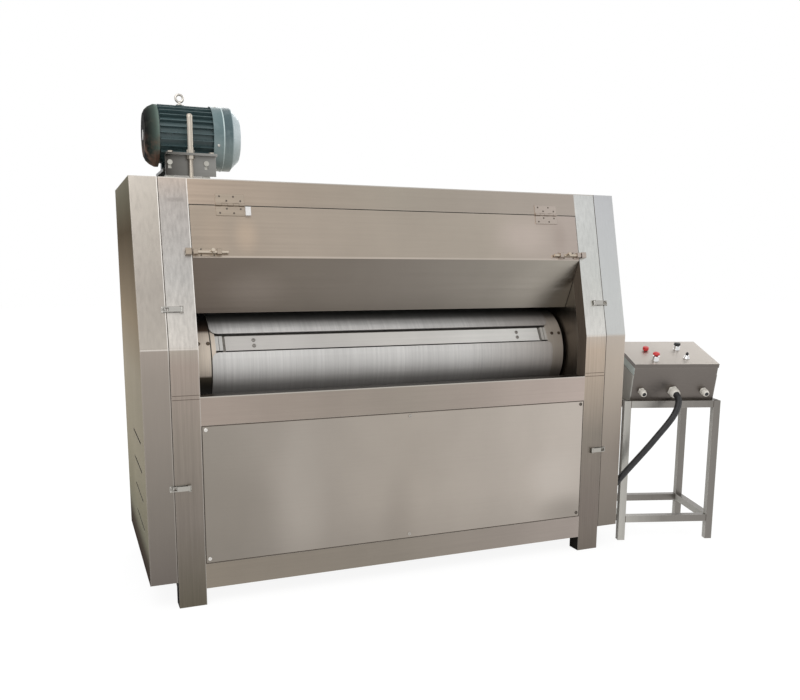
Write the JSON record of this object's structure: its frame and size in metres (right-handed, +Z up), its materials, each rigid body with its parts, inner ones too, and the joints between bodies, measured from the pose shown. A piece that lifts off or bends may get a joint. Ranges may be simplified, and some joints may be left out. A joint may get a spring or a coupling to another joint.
{
  "type": "drum dehairing machine",
  "caption": "Stainless drum-type dehairing machine with clamp-bar drum, hinged hood, roof motor and a free-standing control console on a conduit.",
  "frame": {"origin": "bottom centre of the whole object without its conduit", "axes": "+X to the console side, +Y to the rear of the machine, +Z up"},
  "size_m": [2.4952, 0.9188, 1.8137],
  "materials": {
    "post_steel": "brushed",
    "panel_steel": "brushed",
    "cover_steel": "brushed",
    "drum_steel": "satin",
    "shaft_steel": "machined",
    "blade_steel": "ground",
    "screw_steel": "satin",
    "hinge_steel": "satin",
    "chain_steel": "oiled",
    "bearing_iron": "as cast",
    "motor_paint": "gloss",
    "shield_paint": "satin",
    "gland_plastic": "moulded",
    "black_plastic": "moulded",
    "conduit_plastic": "corrugated",
    "collar_chrome": "polished",
    "red_plastic": "moulded"
  },
  "bodies": {
    "frame": {"left_front_post": "post_steel", "right_front_post": "post_steel", "rear_frame": "post_steel", "header_beam": "panel_steel", "feed_beam": "panel_steel", "bottom_front_rail": "panel_steel", "front_panel": "panel_steel", "rear_panel": "panel_steel", "roof_panel": "panel_steel", "side_walls": "panel_steel", "left_side_cover": "cover_steel", "right_side_cover": "cover_steel", "panel_screws": "screw_steel", "flange_bearings": "bearing_iron", "drum_gearmotor": "motor_paint", "drive_chain": "chain_steel", "header_hinge_leaves": "hinge_steel", "bolt_keepers": "hinge_steel", "latch_mountings": "hinge_steel", "motor_support": "post_steel", "console_stand": "post_steel", "console_box": "cover_steel", "console_lid": "cover_steel", "cable_glands": "gland_plastic", "gland_plugs": "black_plastic", "control_collars": "collar_chrome", "control_conduit": "conduit_plastic"},
    "drum": {"drum_shaft": "shaft_steel", "drum_core": "drum_steel", "drum_end_rings": "drum_steel", "drum_plates": "drum_steel", "clamp_bars": "drum_steel", "guide_blocks": "drum_steel", "drum_screws": "screw_steel", "drum_sprocket": "chain_steel"},
    "gear_output": {"gearmotor_sprocket": "chain_steel"},
    "roller": {"blade_roller": "shaft_steel", "helical_blades": "blade_steel", "roller_pulley": "bearing_iron"},
    "motor_carriage": {"motor_plate": "post_steel", "motor_frame": "motor_paint", "motor_end_shields": "shield_paint", "fan_cowl": "motor_paint", "lifting_eye": "screw_steel", "motor_fasteners": "screw_steel"},
    "rotor": {"motor_rotor": "shaft_steel"},
    "hood": {"hood_panel": "panel_steel", "hood_hinge_leaves": "hinge_steel", "bolt_barrels": "hinge_steel", "hood_sensor": "gland_plastic"},
    "left_bolt": {"left_bolt_rod": "hinge_steel"},
    "right_bolt": {"right_bolt_rod": "hinge_steel"},
    "upper_left_lever": {"upper_left_latch": "hinge_steel"},
    "upper_right_lever": {"upper_right_latch": "hinge_steel"},
    "lower_left_lever": {"lower_left_latch": "hinge_steel"},
    "lower_right_lever": {"lower_right_latch": "hinge_steel"},
    "red_push": {"red_button": "red_plastic"},
    "stop_push": {"stop_button": "red_plastic"},
    "selector": {"selector_knob": "black_plastic"},
    "speed": {"speed_knob": "black_plastic"}
  },
  "joints": [
    {"name": "drum_spin", "type": "hinge", "parent": "frame", "child": "drum", "pos_m": [-0.28264, -0.02239, 0.822], "axis": [1, 0, 0], "continuous": true},
    {"name": "gear_output_spin", "type": "hinge", "parent": "frame", "child": "gear_output", "pos_m": [0.61736, -0.02239, 0.4], "axis": [1, 0, 0], "continuous": true},
    {"name": "roller_spin", "type": "hinge", "parent": "frame", "child": "roller", "pos_m": [-0.28264, 0.05161, 1.098], "axis": [1, 0, 0], "continuous": true},
    {"name": "motor_height_slide", "type": "slide", "parent": "frame", "child": "motor_carriage", "axis": [0, 0, 1], "range_m": [0, 0.015]},
    {"name": "rotor_spin", "type": "hinge", "parent": "motor_carriage", "child": "rotor", "pos_m": [-0.98264, 0.11761, 1.657], "axis": [1, 0, 0], "continuous": true},
    {"name": "hood_swing", "type": "hinge", "parent": "frame", "child": "hood", "pos_m": [-0.28264, -0.24141, 1.39317], "axis": [-1, 0, 0], "range_deg": [0, 100]},
    {"name": "left_bolt_slide", "type": "slide", "parent": "hood", "child": "left_bolt", "axis": [-1, 0, 0], "range_m": [0, 0.041]},
    {"name": "right_bolt_slide", "type": "slide", "parent": "hood", "child": "right_bolt", "axis": [1, 0, 0], "range_m": [0, 0.041]},
    {"name": "upper_left_latch_swing", "type": "hinge", "parent": "frame", "child": "upper_left_lever", "pos_m": [-1.10464, -0.32893, 1.04187], "axis": [0, 0.2337, 0.9723], "range_deg": [0, 100]},
    {"name": "upper_right_latch_swing", "type": "hinge", "parent": "frame", "child": "upper_right_lever", "pos_m": [0.53936, -0.32893, 1.04187], "axis": [0, -0.2337, -0.9723], "range_deg": [0, 100]},
    {"name": "lower_left_latch_swing", "type": "hinge", "parent": "frame", "child": "lower_left_lever", "pos_m": [-1.10464, -0.36039, 0.432], "axis": [0, 0, 1], "range_deg": [0, 100]},
    {"name": "lower_right_latch_swing", "type": "hinge", "parent": "frame", "child": "lower_right_lever", "pos_m": [0.53936, -0.36039, 0.432], "axis": [0, 0, -1], "range_deg": [0, 100]},
    {"name": "red_button_press", "type": "slide", "parent": "frame", "child": "red_push", "axis": [0.0753, 0.2388, -0.9681], "range_m": [0, 0.004], "stiffness_N_per_m": 600, "springref_m": -0.004},
    {"name": "stop_button_press", "type": "slide", "parent": "frame", "child": "stop_push", "axis": [0.0753, 0.2388, -0.9681], "range_m": [0, 0.005], "stiffness_N_per_m": 900, "springref_m": -0.004},
    {"name": "selector_turn", "type": "hinge", "parent": "frame", "child": "selector", "pos_m": [1.03933, -0.24965, 0.82523], "axis": [-0.0753, -0.2388, 0.9681], "range_deg": [-45, 45]},
    {"name": "speed_turn", "type": "hinge", "parent": "frame", "child": "speed", "pos_m": [1.00921, -0.35182, 0.79769], "axis": [-0.0753, -0.2388, 0.9681], "range_deg": [-135, 135]}
  ],
  "couplings": [
    {"joint": "gear_output_spin", "follows": "drum_spin", "ratio": 2.4},
    {"joint": "rotor_spin", "follows": "roller_spin", "ratio": 1}
  ]
}
